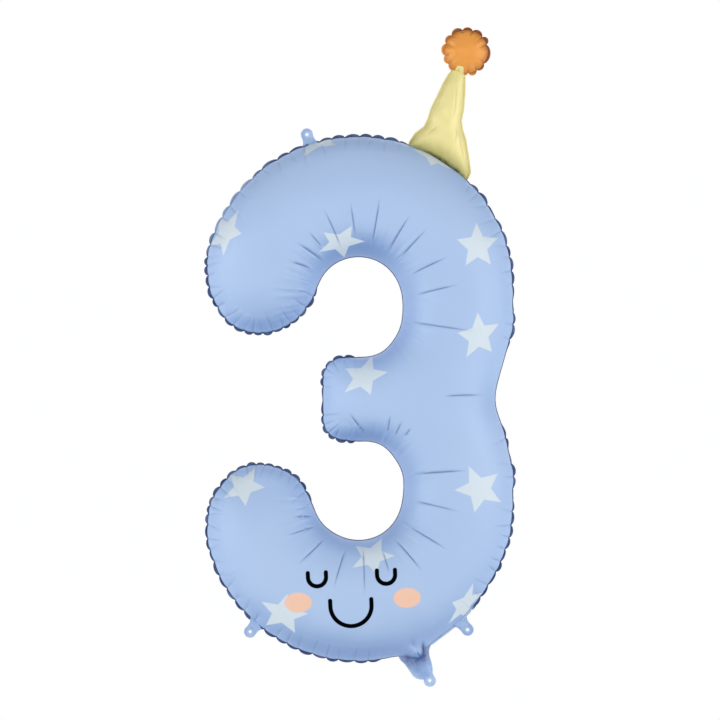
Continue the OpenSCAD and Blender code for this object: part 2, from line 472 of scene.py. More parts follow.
creases = {
    "upper": [
        ((110, 68), (112, 129)), ((93, 79), (95, 128)), ((75, 69), (78, 140)), ((55, 71), (57, 133)),
        ((41, 75), (44, 132)), ((127, 81), (128, 110)), ((136, 66), (140, 112)), ((151, 74), (154, 102)),
        ((21, 75), (23, 135)), ((0, 78), (6, 140)), ((333, 78), (343, 168)), ((310, 178), (322, 220)),
    ],
    "lower": [
        ((84, 94), (96, 124)), ((67, 103), (70, 128)), ((61, 104), (62, 126)), ((55, 111), (55, 123)),
        ((27, 84), (16, 159)), ((2, 76), (355, 141)), ((335, 72), (332, 139)), ((315, 70), (313, 130)),
        ((297, 72), (294, 105)), ((276, 62), (274, 126)), ((255, 65), (254, 122)), ((227, 67), (225, 118)),
        ((209, 68), (205, 106)), ((197, 66), (192, 91)),
    ],
}


def fromBowl(bowl, angle, r):
    x, z = bowls[bowl]
    a = math.radians(angle)
    return np.array([x + r * mm * math.cos(a), z + r * mm * math.sin(a)])


folds = [(fromBowl(b, *start), fromBowl(b, *end)) for b, lines in creases.items() for start, end in lines]
folds += [(np.array(a) * mm, np.array(b) * mm) for a, b in (((86, 41), (84.5, 66)), ((81, 42), (77, 52)))]

neckJoint = joints["neck_fold"]
neckAlong = np.array(neckJoint["axis"])[[0, 2]]
neckAt = np.array(neckJoint["pos_m"])[[0, 2]]


# The film's outline has a slot where the neck's mouth is, which the outline runs straight across.
def atMouth(a, b):
    away = np.array([p[[0, 2]] - neckAt for p in (a, b)])
    u, v = away @ neckAlong, away @ [-neckAlong[1], neckAlong[0]]
    return bool(np.all((abs(abs(u) - 18 * mm) < 0.6 * mm) & (abs(v) < 14 * mm)))


# The gas pushes the film a little way down into the neck's mouth, along these points.
mouth = [(46, 46.2), (54, 45.2), (62, 42.2), (70, 39.6), (77, 38.6), (81.5, 40), (85, 46), (88.5, 54),
         (92.5, 60), (97, 65.4)]

# Where the inflated film bulges further out, or less, than its flat pattern: place, reach, amount.
bulges = [((182, 397), 17, 1.8), ((193, 345), 26, 2.6), ((-75, 515), 26, 2.6), ((-83, 277), 24, 2.2),
          ((-198, 518), 24, -3.2), ((-196, 278), 24, -3.4), ((199, 615), 34, 1.4), ((164, 672), 20, 1.6),
          ((45, 473), 22, 1.2), ((48, 318), 22, 1.0), ((-189, 137), 26, 0.8), ((-205, 613), 26, 1.0),
          ((-133, 709), 22, 0.8), ((-3, 535), 75, 1.0), ((56, 518), 14, -1.6), ((-65, 533), 12, 2.4),
          ((-3, 215), 60, 1.2), ((56, 278), 18, -2.6), ((-58, 230), 15, -3.0), ((-3, 337), 16, 2.0)]
swell = 0.9


# The part of a loop between the ends of a path, going the short way, is replaced by the path.
def spliced(p, path):
    p, path = resampled(p, 1 * mm)[0], np.array(path) * mm
    i, j = (int(np.hypot(*(p - end).T).argmin()) for end in (path[0], path[-1]))
    if (j - i) % len(p) > len(p) / 2:
        i, j, path = j, i, path[::-1]
    rest = np.roll(p, -j, axis=0)[:(i - j) % len(p)]
    return np.vstack([path, rest])


def bulged(edge, places, amount):
    p = edge["p"]
    total = np.full(len(p), float(amount))
    for at, reach, out in places:
        total += out * np.exp(-((p - np.array(at) * mm) ** 2).sum(axis=1) / (reach * mm) ** 2)
    return p - edge["inward"] * (total * mm)[:, None]


# The tight film in a hollow stretch of the rim runs in one smooth curve.
def smoothHollows(edge, reach):
    p, blur = edge["p"], reach / edge["step"]
    hollow = smoothStep(-ringBlur(edge["curve"], blur), 0, 4)
    amount = np.clip(ringBlur(hollow, 0.5 * blur), 0, 1)
    return p + (gentleBlur(p, blur) - p) * amount[:, None]


digitEdge = makeEdge(spliced(weldLoop("number_front_film", atMouth), mouth), 1 * mm, digit["blur"] * mm)
digitEdge = makeEdge(bulged(digitEdge, bulges, swell), 1 * mm, digit["rimBlur"] * mm)
digitEdge = makeEdge(smoothHollows(digitEdge, digit["hollowReach"] * mm), 1 * mm, 1 * mm)
print("digit outline", round(digitEdge["length"], 3), "m", len(digitEdge["p"]), "points")


# Where the scallops meet: places round an outline, a lobe's length apart.
def notchesAlong(edge, lobeAt, seed):
    rng = random.Random(seed)
    s, places = rng.random() * 10 * mm, []
    while s < edge["length"] - 5 * mm:
        places.append(s)
        i = int(s / edge["step"]) % len(edge["p"])
        s += lobeAt[i] * rng.uniform(0.82, 1.2)
    return np.array(places)


# Where the hat's foot and the neck join the rim. Angles are in degrees, lengths in millimetres.
foot = {"middle": (-3, 540), "angle": 58.5, "noScallops": 14.5, "thinWeld": 12.5, "above": 600}
neckStretch = {"left": 42, "right": 152, "below": 130}


def underHat(x, z, reach):
    angle = np.degrees(np.arctan2(z - foot["middle"][1], x - foot["middle"][0]))
    return (np.abs(angle - foot["angle"]) < reach) & (z > foot["above"])


convex = ringBlur(digitEdge["curve"], 12 * mm / digitEdge["step"])
scallop = smoothStep(convex, 0.8, 3.5)
rimX, rimZ = digitEdge["p"].T / mm
byNeck = (rimX > neckStretch["left"]) & (rimX < neckStretch["right"]) & (rimZ < neckStretch["below"])
scallop[underHat(rimX, rimZ, foot["noScallops"]) | byNeck] = 0
scallop = np.clip(ringBlur(scallop, 7 * mm / digitEdge["step"]), 0, 1)
topLeft = ((rimX < -50) & (rimZ > 620)).astype(float)
lobeAt = digit["lobe"] + (digit["lobeEnds"] - digit["lobe"]) * smoothStep(convex, 6, 12)
lobeAt = (lobeAt + (digit["lobeTopLeft"] - lobeAt) * topLeft) * mm
notches = notchesAlong(digitEdge, lobeAt, digit["seed"])
kept = notches[onRing(scallop, notches, digitEdge["length"]) > 0.03]


# Each notch has its own depth, length of groove and slant.
def notchFacts(places, seed, short, long):
    rng = random.Random(seed)
    return [{"s": s, "deep": rng.uniform(0.55, 1.25), "long": rng.uniform(short, long) * mm,
             "slant": rng.uniform(-0.35, 0.35)} for s in places]


digitNotches = notchFacts(kept, digit["seed"] + 1, 13, 34)


# How full a scallop is at a place round the rim, 0 at its notches and 1 between, and which scallop it is.
def lobeShape(s, places, length):
    order = np.concatenate([places, [places[0] + length]])
    wrapped = np.where(s < places[0], s + length, s)
    k = np.clip(np.searchsorted(order, wrapped, side="right") - 1, 0, len(places) - 1)
    t = (wrapped - order[k]) / (order[k + 1] - order[k])
    return np.sin(np.pi * np.clip(t, 0, 1)) ** 0.6, k


# Grooves start at the notches and creases cross the stroke. Each is a sharp valley between low shoulders,
# with a painted shade line down it: lengths in millimetres, and shares of the valley's own width, depth or length.
grooveShape = {"scallop": 9, "near": 14, "wide": 0.9, "widen": 0.05, "shoulder": 0.35, "shoulderWide": 4.5,
               "dark": 0.8}
creaseShape = {"sway": 1.2, "wide": 0.9, "widen": 0.4, "shoulder": 0.3, "shoulderWide": 6, "dark": 0.75,
               "fadeIn": 0.25, "fadeOut": 0.55}


# How far the film is pushed out, or in, along its own normal by the scallops and their grooves, and the painted
# shade line down each groove.
def scallopField(edge, notchList, strength, s, d, pull, groove):
    length, shape = edge["length"], grooveShape
    lobe, _ = lobeShape(s, np.array([n["s"] for n in notchList]), length)
    amount = onRing(strength, s, length)
    move = -pull * (1 - lobe) * np.exp(-(d / (shape["scallop"] * mm)) ** 2)
    dark = np.zeros(len(s))
    for n in notchList:
        gap = (s - n["s"] - n["slant"] * d + length / 2) % length - length / 2
        near = np.abs(gap) < shape["near"] * mm
        near &= d < n["long"] * 1.1
        g, dd = gap[near], d[near]
        wide = shape["wide"] * mm + shape["widen"] * dd
        fade = (1 - smoothStep(dd, 0.25 * n["long"], n["long"])) * smoothStep(dd, -1 * mm, 3 * mm)
        shoulder = shape["shoulder"] * np.exp(-(g / (shape["shoulderWide"] * wide)) ** 2)
        move[near] -= groove * n["deep"] * fade * (np.exp(-np.abs(g) / wide) - shoulder)
        line = np.exp(-(g / (shape["dark"] * wide)) ** 2)
        dark[near] = np.maximum(dark[near], fade * line * min(n["deep"], 1))
    return move * amount, dark * amount


# Sharp folds that run across the stroke from the bays, each with a painted shade line along it.
def creaseField(q, lines, depth, seed):
    rng, shape = random.Random(seed), creaseShape
    move, dark = np.zeros(len(q)), np.zeros(len(q))
    for a, b in lines:
        run = b - a
        long = np.linalg.norm(run)
        run = run / long
        off = q - a
        u = off @ run
        t = np.clip(u / long, 0, 1)
        sway = rng.uniform(-shape["sway"], shape["sway"]) * mm
        v = off @ np.array([-run[1], run[0]]) - sway * np.sin(np.pi * t)
        ends = smoothStep(u, -1 * mm, shape["fadeIn"] * long)
        ends = ends * (1 - smoothStep(u, shape["fadeOut"] * long, long + 1 * mm))
        deep = depth * rng.uniform(0.8, 1.15)
        wide = (shape["wide"] + shape["widen"] * t) * mm
        shoulder = shape["shoulder"] * np.exp(-(v / (shape["shoulderWide"] * wide)) ** 2)
        move -= deep * ends * (np.exp(-np.abs(v) / wide) - shoulder)
        dark = np.maximum(dark, ends * np.exp(-(v / (shape["dark"] * mm)) ** 2))
    return move, dark


digitSize = {"coarse": 2.6 * mm, "fine": 0.9 * mm, "grade": 0.08 * mm, "rows": 17, "inside": 3.0 * mm,
             "foldRows": [x * mm for x in (-4.2, -2.2, -0.9, 0, 0.9, 2.2, 4.2)]}
nearFolds = fromEdge(digitEdge, np.array([a for a, b in folds]))
nearFolds = [s for d, s in zip(*nearFolds) if d < 21 * mm]
digitSheet = chamberMesh(digitEdge, digitSize, list(kept) + nearFolds, folds)
print("digit sheet", len(digitSheet["q"]), "points", len(digitSheet["tris"]), "triangles")

digitHeight = digit["plump"] * puffed(digitSheet, digitSheet["d"] <= 1e-9, 900)
print("digit puffed to", round(float(digitHeight.max()), 4))


# A bumpy value for each point, from a few seeded waves.
def softNoise(q, size, seed, waves=14):
    rng = random.Random(seed)
    total = np.zeros(len(q))
    for _ in range(waves):
        a = rng.uniform(0, 2 * math.pi)
        f = 2 * math.pi / (size * rng.uniform(0.7, 1.6))
        total += np.sin((q @ np.array([math.cos(a), math.sin(a)])) * f + rng.uniform(0, fullTurn))
    return total / math.sqrt(waves)


# Fine pleats that fan out from a bay's edge.
def pleatField(q, seed):
    move = np.zeros(len(q))
    for k, (x, z) in enumerate(bowls.values()):
        rng = random.Random(seed + k)
        r = np.hypot(q[:, 0] - x, q[:, 1] - z)
        a = np.arctan2(q[:, 1] - z, q[:, 0] - x)
        wave = sum(np.sin(a * n + rng.uniform(0, fullTurn)) for n in (47, 61, 83, 97)) / 2
        move += wave * smoothStep(r, 64 * mm, 76 * mm) * (1 - smoothStep(r, 90 * mm, 128 * mm))
    return move


# Where the weld lies in front of or behind its plane, from a few seeded waves round the rim.
def rimWave(chamber, s):
    rng = random.Random(chamber["seed"] + 16)
    length = chamber["edge"]["length"]
    a = 2 * math.pi * s / length
    total = np.zeros(len(s))
    for _ in range(9):
        n = rng.randint(int(length / 0.12) + 2, int(length / 0.028) + 4)
        total += rng.uniform(0.1, 0.4) * np.sin(a * n + rng.uniform(0, fullTurn))
    return mm * chamber["wave"] * onRing(chamber["strength"], s, length) * total


# How far the painted shade and painted rim light kept for the films' colours reach.
shading = {"bayCurve": 14, "bayShade": 13, "rim": 4.0, "underShadeFrom": 0.2, "underShadeTo": 0.97, "groove": 0.28}


# One film of a chamber: side is -1 at the front and 1 at the back.
def filmPiece(name, side, chamber):
    edge, sheet = chamber["edge"], chamber["sheet"]
    q, s, d = sheet["q"], sheet["s"], sheet["d"]
    flat = np.stack([q[:, 0], np.zeros(len(q)), q[:, 1]], axis=1)
    co = flat + np.outer(chamber["height"], [0, -1, 0])
    normal = vertexNormals(co, cornersOf(sheet))
    rim = d <= 1e-9
    n = onRing(edge["inward"], s, edge["length"])
    normal[rim] = np.stack([-n[rim, 0], np.zeros(rim.sum()), -n[rim, 1]], axis=1)
    move, dark = scallopField(edge, chamber["notches"], chamber["strength"], s, d,
                              chamber["pull"] * mm, chamber["groove"] * mm)
    fold, foldShade = creaseField(q, chamber["folds"], chamber["foldDepth"] * mm, chamber["seed"] + side)
    inside = smoothStep(d, 0, 4 * mm)
    move += fold * inside + chamber["extra"](q, d, side) * inside
    co = co + normal * move[:, None]
    wave = rimWave(chamber, s) * np.exp(-(d / (9 * mm)) ** 2)
    co[:, 1] = -side * co[:, 1] + wave
    faces = [tuple(f) for f in sheet["quads"]] + [tuple(f) for f in sheet["tris"]]
    if side > 0:
        faces = [f[::-1] for f in faces]
    piece = newPiece(name, co, faces)
    # Painted shade along the folds and grooves, kept for the colours.
    keepValue(piece, "creaseShade", np.maximum(foldShade * smoothStep(d, 0, 2 * mm), shading["groove"] * dark))
    # Painted shade at the neck's mouth, where the chamber gives one.
    if "dark" in chamber:
        keepValue(piece, "mouth", chamber["dark"](q))
    # Painted shade near the bays, fading in from their edges.
    bayShade = onRing(np.clip(-chamber["convex"] / shading["bayCurve"], 0, 1), s, edge["length"])
    keepValue(piece, "bayShade", bayShade * np.exp(-d / (shading["bayShade"] * mm)))
    # Painted shade on film that faces down, kept for the colours.
    facing = vertexNormals(np.stack([co[:, 0], -np.abs(co[:, 1]), co[:, 2]], axis=1), cornersOf(sheet))
    keepValue(piece, "under", smoothStep(-facing[:, 2], shading["underShadeFrom"], shading["underShadeTo"]))
    # Nearness to the rim, kept for the colours: painted rim light on the digit, painted shade round the pompom's
    # rim, a paler band along the neck's edge.
    keepValue(piece, "rim", np.exp(-d / (shading["rim"] * mm)))
    return piece


# The front and the back film.
def filmPair(name, chamber):
    return [filmPiece(name + "_front", -1, chamber), filmPiece(name + "_back", 1, chamber)]


# The weld band round a chamber, as a closed thin strip whose width follows the scallops.
def weldPiece(name, chamber, thin, wide, lift, widthAt=None):
    edge, s = chamber["edge"], chamber["sheet"]["columns"]
    places = np.array([n["s"] for n in chamber["notches"]])
    lobe, which = lobeShape(s, places, edge["length"])
    amount = onRing(chamber["strength"], s, edge["length"])
    rng = random.Random(chamber["seed"] + 72)
    size = np.array([rng.uniform(0.65, 1.2) for _ in places])[which]
    raised = np.array([rng.uniform(-1, 1) for _ in places])[which]
    width = mm * (thin + wide * lobe ** 0.8 * size * amount)
    n = onRing(edge["inward"], s, edge["length"])
    p = onRing(edge["p"], s, edge["length"]) + n * (chamber["pull"] * mm * (1 - lobe) * amount)[:, None]
    if widthAt:
        width = width * widthAt(p)
    wave = rimWave(chamber, s)
    lifted = lift * mm * raised * lobe * amount
    steps = [(-0.5 * mm, 0.15, 0), (0.35, 0.15, 0.35), (0.75, 0.15, 0.75), (1.0, 0.08, 1.0)]
    section = [(o, -h, f) for o, h, f in steps] + [(o, h, f) for o, h, f in reversed(steps)]
    co = np.empty((len(s), len(section), 3))
    for k, (out, half, share) in enumerate(section):
        reach = out if out < 0 else out * width
        at = p - n * (reach * np.ones(len(s)))[:, None]
        co[:, k, 0], co[:, k, 2] = at[:, 0], at[:, 1]
        co[:, k, 1] = wave + half * mm + lifted * share
    count, m = len(s), len(section)
    faces = []
    for j in range(count):
        here, ahead = j * m, (j + 1) % count * m
        for k in range(m):
            faces.append((here + k, ahead + k, ahead + (k + 1) % m, here + (k + 1) % m))
    return newPiece(name, co.reshape(-1, 3), faces)


def digitExtra(q, d, side):
    seed = 34 + side
    uneven = softNoise(q, 60 * mm, seed + 6) * smoothStep(d, 0, 30 * mm)
    return digit["pleatDepth"] * mm * pleatField(q, seed) + digit["uneven"] * mm * uneven


# Painted shade on the film where it is drawn together at the neck's mouth, and down a fold there.
def mouthShade(q):
    x, z = q.T / mm
    fold = np.exp(-((x - 85.4 + 0.06 * (z - 50)) / 2.4) ** 2) * smoothStep(z, 38, 42) * (1 - smoothStep(z, 54, 66))
    path = np.array(mouth[2:8], float)
    steps = np.linspace(0, 1, 60)
    reached = [np.interp(steps, np.linspace(0, 1, len(path)), path[:, k]) for k in (0, 1)]
    gap = np.min([np.hypot(x - a, z - b) for a, b in zip(*reached)], axis=0)
    return np.maximum(fold, 0.75 * np.exp(-(gap / 3.4) ** 2))


digitChamber = {"edge": digitEdge, "dark": mouthShade, "sheet": digitSheet, "height": digitHeight,
                "notches": digitNotches, "strength": scallop, "convex": convex, "pull": digit["pull"],
                "groove": digit["groove"], "folds": folds, "foldDepth": digit["creaseDepth"],
                "seed": digit["seed"], "wave": 1, "extra": digitExtra}
digitFilms = filmPair("number", digitChamber)


# The weld is a line under the hat and at the neck's mouth, and wide from there to the right tab.
def digitWeldWidth(p):
    x, z = p.T / mm
    right = smoothStep(x, 90, 98) * (1 - smoothStep(x, 146, 156)) * (z < neckStretch["below"])
    return np.where(underHat(x, z, foot["thinWeld"]), 0.3, 1) + 2.6 * right


digitWeld = weldPiece("number_weld", digitChamber, digit["flangeThin"], digit["flange"], 1.3, digitWeldWidth)
print("digit made,", len(digitFilms[0].data.polygons), "faces a side")


# Directions in a flap's own frame, from its joint: out from the rim, and along it.
def jointFrame(name):
    j = joints[name]
    at = np.array(j["pos_m"])[[0, 2]]
    along = np.array(j["axis"])[[0, 2]]
    out = np.array([-along[1], along[0]])
    return at, out, along


# How far past a joint's line each place is.
def pastJoint(p, name):
    at, out, _ = jointFrame(name)
    return (p - at) @ out


# The places one distance and another past a joint's line are worked out but not used, so the piece is not bent
# between the joint's bodies; its placement is baked into its mesh and the frame's part it stands for is hidden.
def blendAt(piece, joint, line, reach, node):
    at, out = line
    start, end = ((at[0] + out[0] * r * mm, 0, at[1] + out[1] * r * mm) for r in reach)
    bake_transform(piece)
    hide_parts(node)


# A small chamber with the same weld, scallops and folds as the digit's.
def smallChamber(look, extra=None):
    edge = makeEdge(np.array(look["outline"]) * mm, 0.5 * mm, look["blur"] * mm)
    curve = ringBlur(edge["curve"], 6 * mm / edge["step"])
    strength = np.full(len(edge["p"]), float(look["scallops"]))
    lobes = np.full(len(edge["p"]), look["lobe"] * mm)
    places = notchesAlong(edge, lobes, look["seed"])
    notchList = notchFacts(places, look["seed"] + 1, *look["grooveLong"])
    lines = [(np.array(a) * mm, np.array(b) * mm) for a, b in look["folds"]]
    size = {"coarse": 1.2 * mm, "fine": 0.7 * mm, "grade": look["grade"] * mm, "rows": look["rows"],
            "inside": 1.5 * mm, "foldRows": [x * mm for x in (-2.4, -1.1, 0, 1.1, 2.4)]}
    sheet = chamberMesh(edge, size, list(places) if look["scallops"] else [], lines)
    height = look["plump"] * puffed(sheet, sheet["d"] <= look.get("flat", 0) * mm + 1e-9, 600)
    height = np.maximum(height, 0.25 * mm * smoothStep(sheet["d"], 0, 0.4 * mm))
    return {"edge": edge, "sheet": sheet, "height": height, "notches": notchList, "strength": strength,
            "convex": curve, "pull": look["pull"], "groove": look["groove"], "folds": lines,
            "foldDepth": look["foldDepth"], "seed": look["seed"], "wave": look["wave"],
            "extra": extra or (lambda q, d, side: 0.25 * mm * softNoise(q, 22 * mm, look["seed"] + side))}


def rimArc(middle, r, first, last, count):
    return [(middle[0] + r * math.cos(math.radians(a)), middle[1] + r * math.sin(math.radians(a)))
            for a in np.linspace(first, last, count)]


# The party hat. Its outline runs from the left of its foot, along the rim, and round.
hat = {
    "outline": rimArc(foot["middle"], 207.5, 71.0, 45.6, 12) + [
        (148.5, 702), (146, 721), (142.3, 745), (137.6, 760), (135.9, 772), (139, 787), (140.8, 811),
        (141.2, 832.5), (139.6, 839.5), (131, 842.5), (125.5, 842), (120.5, 833), (112.8, 819.5), (105, 803),
        (97.6, 788), (93.4, 774), (88, 763), (76, 754),
    ],
    "blur": 1.5, "scallops": 0.0, "lobe": 15, "grooveLong": (6, 12), "seed": 41,
    "folds": [((141, 716), (133, 764)), ((126, 772), (131, 826)), ((104, 790), (119, 823)),
              ((80, 757), (97, 772)), ((92, 752), (106, 765)), ((128, 742), (131, 766)), ((143, 704), (149, 700))],
    "foldDepth": 0.6, "plump": 0.72, "grade": 0.08, "rows": 7, "pull": 0, "groove": 0, "wave": 0,
}
hatChamber = smallChamber(hat)
hatFilms = filmPair("hat", hatChamber)


# The hat's weld is wide down its sides, and thin along the rim and at the pinch.
def hatWeldWidth(p):
    up = np.hypot(*(p - np.array(foot["middle"]) * mm).T) - 209 * mm
    tip = pastJoint(p, "pompom_fold")
    return 0.25 + 0.75 * smoothStep(up, 0.5 * mm, 5 * mm) * (1 - smoothStep(tip, -4 * mm, 3 * mm))


hatWeld = weldPiece("hat_weld", hatChamber, 2.4, 0, 0, hatWeldWidth)
print("hat made,", len(hatFilms[0].data.polygons), "faces a side")

# The pompom, with its scalloped edge.
pompom = {
    "outline": rimArc((144, 866.5), 30.2, 0, 357, 120),
    "blur": 1, "scallops": 1.0, "lobe": 14.5, "grooveLong": (5, 13), "seed": 52,
    "folds": [], "foldDepth": 0, "plump": 0.72, "grade": 0.08, "rows": 9, "pull": 2.1, "groove": 0.9,
    "wave": 0.6,
}
pompomChamber = smallChamber(pompom)
pompomFilms = filmPair("pompom", pompomChamber)


def pompomWeldWidth(p):
    return 0.3 + 0.7 * smoothStep(pastJoint(p, "pompom_fold"), 1 * mm, 5 * mm)


pompomWeld = weldPiece("pompom_weld", pompomChamber, 0.5, 3.1, 0.9, pompomWeldWidth)
print("pompom made,", len(pompomFilms[0].data.polygons), "faces a side")

# The filling neck, a slack funnel with a flat weld left round its edge.
neck = {
    "outline": [(52, 40.5), (55.5, 35), (59.5, 31.9), (66.4, 22.4), (71.7, 14.6), (76.9, 11.0), (83.5, 9.8),
                (92, 10.6), (97.2, 13.5), (98.6, 20), (98.6, 25), (97.4, 31.9), (94.2, 42.4), (93.4, 49.4),
                (95.6, 56.3), (100.2, 61.5), (108.1, 66.4), (113, 71)] + rimArc((-3, 252.5), 211, -57.5, -74, 14),
    "blur": 1.5, "scallops": 0.0, "lobe": 20, "grooveLong": (6, 12), "seed": 63, "flat": 3.4,
    "folds": [((87, 54), (89, 36)), ((64, 40), (73, 27)), ((74, 37), (77, 30)), ((93, 44), (92, 33))],
    "foldDepth": 0.7, "plump": 0.42, "grade": 0.05, "rows": 6, "pull": 0, "groove": 0, "wave": 0,
    "crumple": 0.7, "hole": 3,
}


def neckExtra(q, d, side):
    out = pastJoint(q, "neck_fold")
    crumple = softNoise(q * [1.0, 2.2], 16 * mm, 64 + side) * (1 - smoothStep(out, 6 * mm, 24 * mm))
    return neck["crumple"] * mm * crumple * smoothStep(d, 3 * mm, 8 * mm)


neckFilms = filmPair("neck", smallChamber(neck, neckExtra))


# The filling hole, punched through the neck's back film where the frame has it.
def punch(piece, at, r):
    def away(co):
        return math.hypot(co.x - at[0], co.z - at[2])

    bm = bmesh.new()
    bm.from_mesh(piece.data)
    near = [f for f in bm.faces if away(f.calc_center_median()) < r]
    bmesh.ops.delete(bm, geom=near, context="FACES")
    for v in bm.verts:
        if v.is_boundary and away(v.co) < 1.6 * r:
            a = math.atan2(v.co.z - at[2], v.co.x - at[0])
            v.co.x, v.co.z = at[0] + r * math.cos(a), at[2] + r * math.sin(a)
    bm.to_mesh(piece.data)
    bm.free()


mounts = {m["name"]: m["pos_m"] for m in frame["record"]["mounts"]}
punch(neckFilms[1], mounts["filling_hole"], neck["hole"] * mm)
print("neck made,", len(neckFilms[0].data.polygons), "faces a side")


# The eyelet flaps: rings of points extruded out from the hole, then drawn out to the rim.
flap = {"ring": 8.4, "hole": 2.0, "rings": (2.5, 3.0, 3.6, 4.3, 5.2, 6.3, 7.4, 8.4), "thick": 0.55,
        "waist": 0.74, "points": 64, "lip": 0.35, "lipAt": 3.3, "lipWide": 0.7, "bevel": 0.12,
        "rootAngle": 40, "sideAngle": 95, "blend": (-1.5, 3)}
tabs = {
    "hanging_tab_top": {"joint": "top_tab_fold", "mount": "top_eyelet", "root": -6.5, "half": 12.5, "curl": 0.6},
    "hanging_tab_left": {"joint": "left_tab_fold", "mount": "left_eyelet", "root": -6.5, "half": 14, "curl": -0.5},
    "hanging_tab_right": {"joint": "right_tab_fold", "mount": "right_eyelet", "root": -6.5, "half": 15,
                          "curl": 0.5},
    "neck_tab": {"joint": "neck_tab_fold", "mount": "neck_eyelet", "root": -5.0, "half": 8.5, "curl": 0.3},
}


# Normals outward, which also leaves the piece selected.
def turnOut(piece):
    bpy.ops.object.select_all(action="DESELECT")
    piece.select_set(True)
    bpy.context.view_layer.objects.active = piece
    bpy.ops.object.mode_set(mode="EDIT")
    bpy.ops.mesh.select_all(action="SELECT")
    bpy.ops.mesh.normals_make_consistent(inside=False)
    bpy.ops.object.mode_set(mode="OBJECT")


def flapPiece(name, look):
    at, out, _ = jointFrame(look["joint"])
    eyelet = np.array(mounts[look["mount"]])[[0, 2]]
    away = float((eyelet - at) @ out)
    if away < 0:
        out, away = -out, -away
    bpy.ops.object.select_all(action="DESELECT")
    bpy.ops.mesh.primitive_circle_add(vertices=flap["points"], radius=flap["hole"] * mm, location=(0, 0, 0))
    piece = bpy.context.object
    piece.name = name
    bpy.ops.object.mode_set(mode="EDIT")
    bpy.ops.mesh.select_all(action="SELECT")
    last = flap["hole"]
    for wide in flap["rings"]:
        bpy.ops.mesh.extrude_edges_move()
        bpy.ops.transform.resize(value=(wide / last, wide / last, 1))
        last = wide
    bpy.ops.object.mode_set(mode="OBJECT")
    ring, root, half = flap["ring"] * mm, (look["root"] * mm - away), look["half"] * mm
    inner = flap["hole"] * mm
    for v in piece.data.vertices:
        u, w = v.co.x, v.co.y
        r = math.hypot(u, w)
        share = (r - inner) / (ring - inner)
        a = abs(math.degrees(math.atan2(w, -u)))
        if a < flap["sideAngle"] and share > 0:
            t = max(0, (a - flap["rootAngle"]) / (flap["sideAngle"] - flap["rootAngle"]))
            if a < flap["rootAngle"]:
                tu, tw = root, half * a / flap["rootAngle"]
            else:
                tu = root * (1 - t)
                tw = ring * flap["waist"] + (half - ring * flap["waist"]) * (1 - t) ** 2.4
                tw += ring * (1 - flap["waist"]) * t ** 1.5
            tw = math.copysign(tw, w)
            k = share ** 1.3
            iu, iw = u / r * inner, w / r * inner
            u, w = iu + (tu - iu) * k, iw + (tw - iw) * k
            r = math.hypot(u, w)
        lip = flap["lip"] * mm * math.exp(-((r - flap["lipAt"] * mm) / (flap["lipWide"] * mm)) ** 2)
        bend = look["curl"] * mm * math.sin(3 * w / half) * max(0, min(1, (u - root) / (4 * mm)))
        x, z = eyelet + u * out + w * np.array([-out[1], out[0]])
        v.co = (x, -lip + bend * 0.5, z)
    piece.data.update()
    turnOut(piece)
    solid = piece.modifiers.new("thickness", "SOLIDIFY")
    solid.thickness, solid.offset = flap["thick"] * mm, 0
    bevel = piece.modifiers.new("edges", "BEVEL")
    bevel.width, bevel.segments, bevel.angle_limit = flap["bevel"] * mm, 2, math.radians(50)
    for modifier in (solid.name, bevel.name):
        bpy.ops.object.modifier_apply(modifier=modifier)
    turnOut(piece)
    bpy.ops.object.shade_smooth_by_angle(angle=math.radians(40))
    off = np.array([[v.co.x, v.co.z] for v in piece.data.vertices]) - eyelet
    r = np.hypot(*off.T)
    # Painted highlight kept for the colours: a pale ring round the eyelet and along the flap's outer edge.
    edgeHighlight = np.exp(-((r - flap["ring"] * mm) / (1.2 * mm)) ** 2) * (off @ out > -1 * mm)
    keepValue(piece, "rim", np.maximum(np.exp(-((r - 3.0 * mm) / (1.1 * mm)) ** 2), 0.8 * edgeHighlight))
    blendAt(piece, look["joint"], (at, out), flap["blend"], name)
    return piece


flaps = [flapPiece(name, look) for name, look in tabs.items()]
print("flaps made")

# The printed stars: middle in x and z, long radius, short over long, direction of the long
# radius in degrees from +X, and the turn of the star itself, clockwise from upright.
stars = [
    ((-0.183, 0.6195), 0.0352, 0.56, 64, 31),
    ((-0.027, 0.607), 0.0337, 0.65, 13, 23),
    ((0.1595, 0.6012), 0.0320, 0.92, 96, 70),
    ((0.161, 0.479), 0.0339, 0.83, 59, 65),
    ((0.005, 0.423), 0.0346, 0.75, 32, 13),
    ((0.162, 0.270), 0.0348, 0.93, 145, 49),
    ((-0.159, 0.273), 0.0314, 0.80, 34, 26),
    ((0.016, 0.178), 0.0314, 0.78, 18, 21),
    ((-0.105, 0.100), 0.0349, 0.76, 161, 13),
    ((-0.0597, 0.7446), 0.0390, 0.45, 20.5, 53.3),
    ((0.0985, 0.7225), 0.0325, 0.34, 150, 60),
    ((0.1421, 0.1129), 0.0349, 0.44, 52, 5.6),
]


# Numbers, arrays or values turned anticlockwise.
def spun(u, v, degrees):
    c, s = math.cos(math.radians(degrees)), math.sin(math.radians(degrees))
    return u * c - v * s, u * s + v * c


